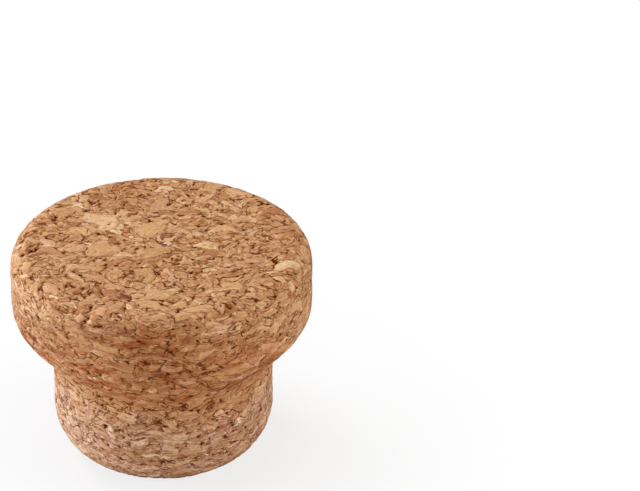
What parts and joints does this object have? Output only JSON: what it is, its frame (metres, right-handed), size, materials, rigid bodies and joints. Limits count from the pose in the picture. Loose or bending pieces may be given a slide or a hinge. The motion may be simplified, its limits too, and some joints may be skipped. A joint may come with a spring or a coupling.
{
  "type": "cork stopper",
  "caption": "Stopper turned from pressed cork granules, with a flat round head, a hollowed neck and a plug with a drawn-in end that closes a jar or bottle mouth.",
  "frame": {"origin": "centre of the plug's end face", "axes": "+Z along the stopper's axis, from the plug's end to the head; the stopper is round, so X and Y are any two square directions"},
  "size_m": [0.045, 0.045, 0.0328],
  "materials": {
    "cork": "matte"
  },
  "bodies": {
    "root": {"cork_stopper": "cork"}
  },
  "joints": []
}
